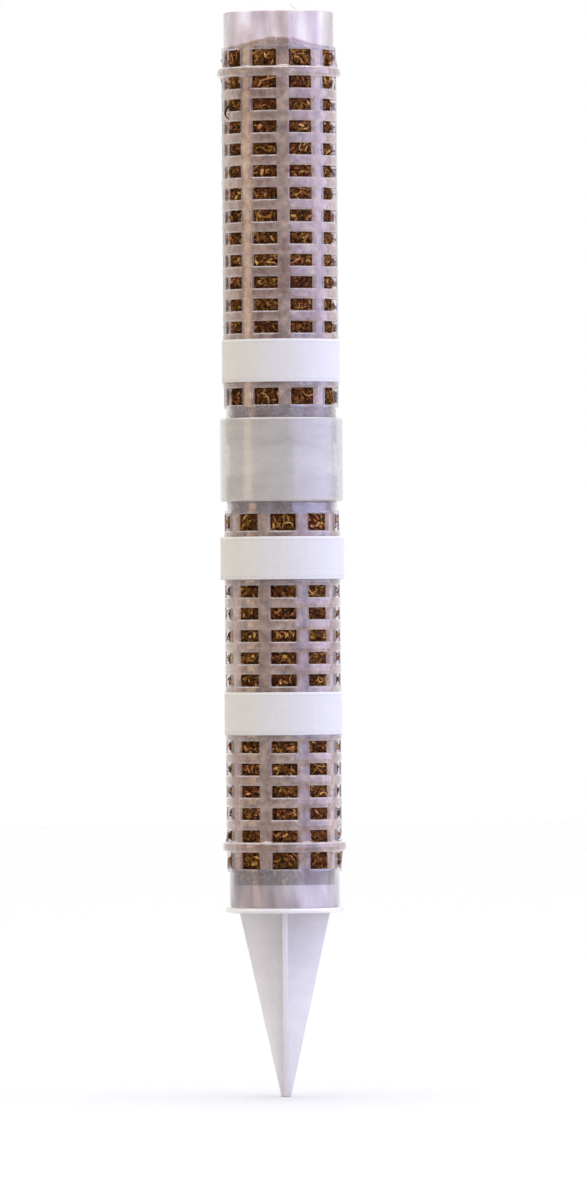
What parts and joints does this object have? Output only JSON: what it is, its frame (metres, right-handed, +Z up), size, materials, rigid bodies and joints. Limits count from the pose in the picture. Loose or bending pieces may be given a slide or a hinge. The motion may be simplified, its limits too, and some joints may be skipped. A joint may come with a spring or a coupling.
{
  "type": "moss pole",
  "caption": "Modular climbing-plant support: clear plastic tube sections with window grids, stuffed with brown moss, joined by a sleeve coupler, with white tie straps and a ground stake",
  "frame": {"origin": "on the pole's axis, in the flat underside of the ground stake's flange, where the potting mix holds it", "axes": "+Z up along the pole, the pictured front faces -Y, +X to the right of the picture"},
  "size_m": [0.0638, 0.0656, 0.5575],
  "materials": {
    "tube_plastic": "clear moulded plastic, faintly pink and lavender, smooth",
    "coupler_plastic": "clear moulded plastic with a light frost, smooth",
    "stake_plastic": "clear moulded plastic, satin",
    "moss": "tangled brown moss fibre, matte",
    "strap_tape": "white hook-and-loop tape, short woven nap"
  },
  "bodies": {
    "stake": {"ground_stake": "stake_plastic"},
    "lower_section": {"lower_tube": "tube_plastic", "lower_moss": "moss"},
    "sleeve": {"coupler": "coupler_plastic"},
    "upper_section": {"upper_tube": "tube_plastic", "upper_moss": "moss"},
    "upper_tie": {"upper_strap": "strap_tape"},
    "middle_tie": {"middle_strap": "strap_tape"},
    "lower_tie": {"lower_strap": "strap_tape"}
  },
  "joints": [
    {"name": "lower_section_twist", "type": "hinge", "parent": "stake", "child": "lower_section", "pos_m": [0, 0, 0.0029], "axis": [0, 0, 1], "continuous": true},
    {"name": "coupler_twist", "type": "hinge", "parent": "lower_section", "child": "sleeve", "pos_m": [0, 0, 0.2245], "axis": [0, 0, 1], "continuous": true},
    {"name": "upper_section_lift", "type": "slide", "parent": "sleeve", "child": "upper_section", "axis": [0, 0, 1], "range_m": [0, 0.04]},
    {"name": "upper_strap_slide", "type": "slide", "parent": "upper_section", "child": "upper_tie", "axis": [0, 0, 1], "range_m": [-0.013, 0.13]},
    {"name": "middle_strap_slide", "type": "slide", "parent": "lower_section", "child": "middle_tie", "axis": [0, 0, 1], "range_m": [-0.028, 0.012]},
    {"name": "lower_strap_slide", "type": "slide", "parent": "lower_section", "child": "lower_tie", "axis": [0, 0, 1], "range_m": [-0.052, 0.028]}
  ]
}
